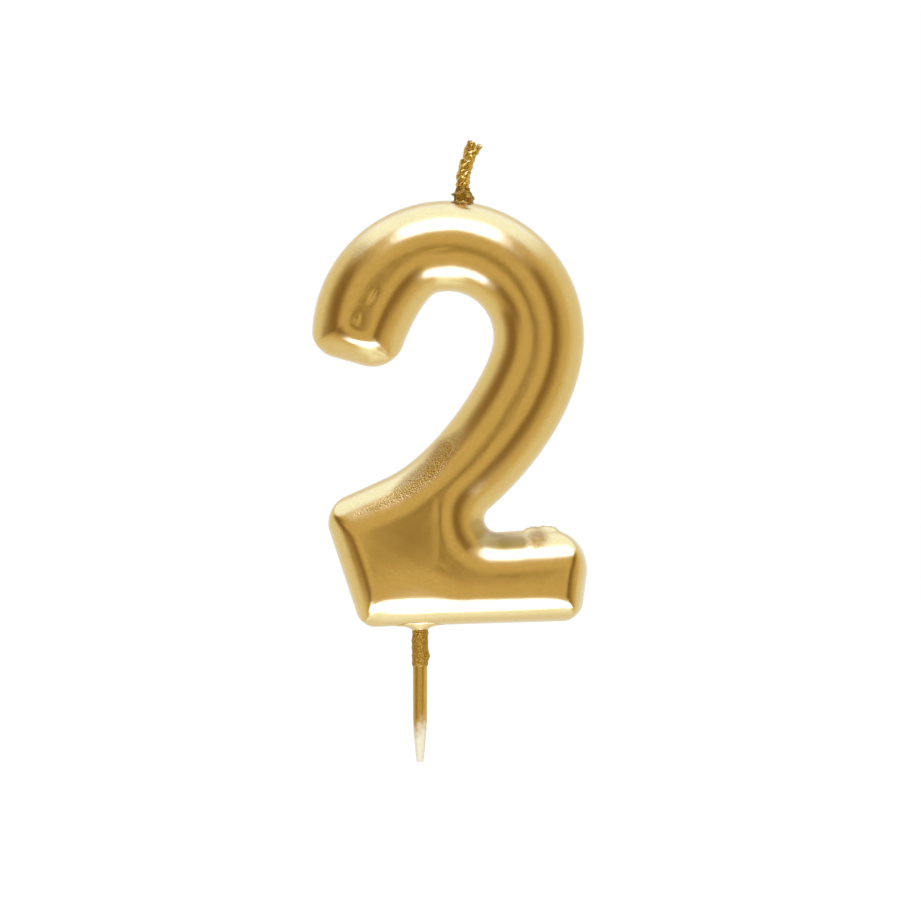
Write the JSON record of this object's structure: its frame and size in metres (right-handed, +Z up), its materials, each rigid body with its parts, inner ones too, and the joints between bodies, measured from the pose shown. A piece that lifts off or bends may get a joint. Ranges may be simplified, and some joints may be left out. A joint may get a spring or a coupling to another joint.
{
  "type": "number candle",
  "caption": "Puffed numeral candle in the shape of a two, with a thin metallic coat, a twisted wick at the top and a pointed wooden pick below for standing it in a cake.",
  "frame": {"origin": "on the pick's axis, level with the numeral's underside, where the top of the cake is in use", "axes": "+Z up along the pick towards the wick, +X to the right as the numeral is read, -Y out of the front face"},
  "size_m": [0.0412, 0.012, 0.0934],
  "materials": {
    "wax": "satin",
    "lacquer": "polished",
    "wick": "satin",
    "wood": "satin"
  },
  "bodies": {
    "root": {"wax_core": "wax", "dip_coat": "lacquer", "wick_ply_1": "wick", "wick_ply_2": "wick", "wick_ply_3": "wick", "wick_collar": "lacquer", "pick": "wood", "pick_sleeve": "lacquer"}
  },
  "joints": []
}
